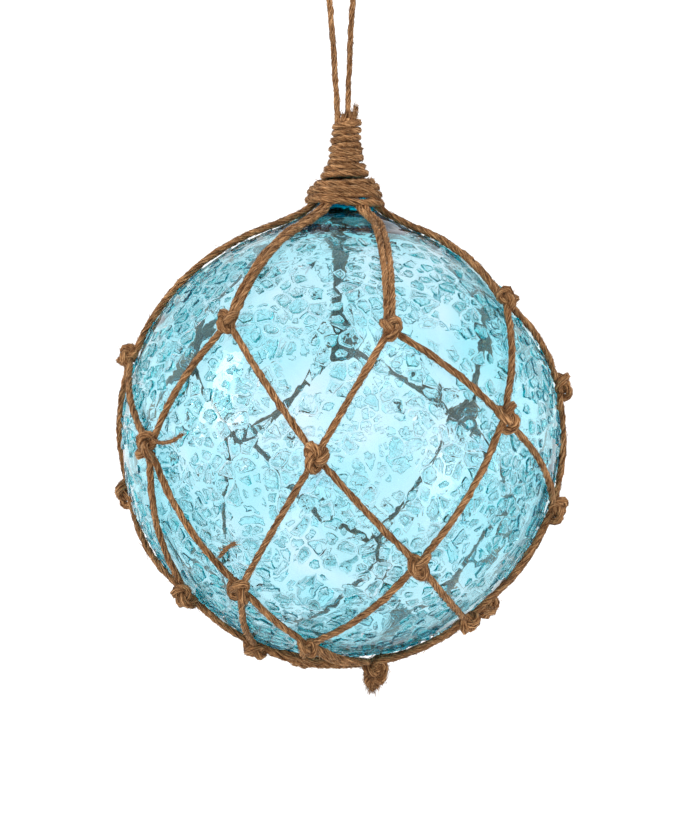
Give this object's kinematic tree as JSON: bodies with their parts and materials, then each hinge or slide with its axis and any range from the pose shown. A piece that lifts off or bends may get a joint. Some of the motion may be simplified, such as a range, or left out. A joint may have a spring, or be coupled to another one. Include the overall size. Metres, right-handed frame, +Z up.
{
  "type": "glass float ball",
  "caption": "Hollow blown glass float ball with a chipped surface, held in a knotted jute twine net, with a whipped neck and a hanging loop.",
  "frame": {"origin": "under the top of the hanging loop, where a hook or nail bears", "axes": "+Z up, out of the neck and along the hanging loop; the pictured side faces -Y; the loop lies in the XZ plane"},
  "size_m": [0.1881, 0.1866, 0.2967],
  "materials": {
    "aqua_glass": "clear aqua blown glass, glossy, its surface covered in fused chips",
    "jute_twine": "warm brown jute twine, twisted, matt and hairy"
  },
  "bodies": {
    "root": {"glass_ball": "aqua_glass", "neck_binding": "jute_twine", "net_cord_1": "jute_twine", "net_cord_2": "jute_twine", "net_cord_3": "jute_twine", "net_cord_4": "jute_twine", "net_cord_5": "jute_twine", "net_cord_6": "jute_twine", "net_cord_7": "jute_twine", "bottom_knot": "jute_twine", "hanging_loop": "jute_twine"}
  },
  "joints": []
}
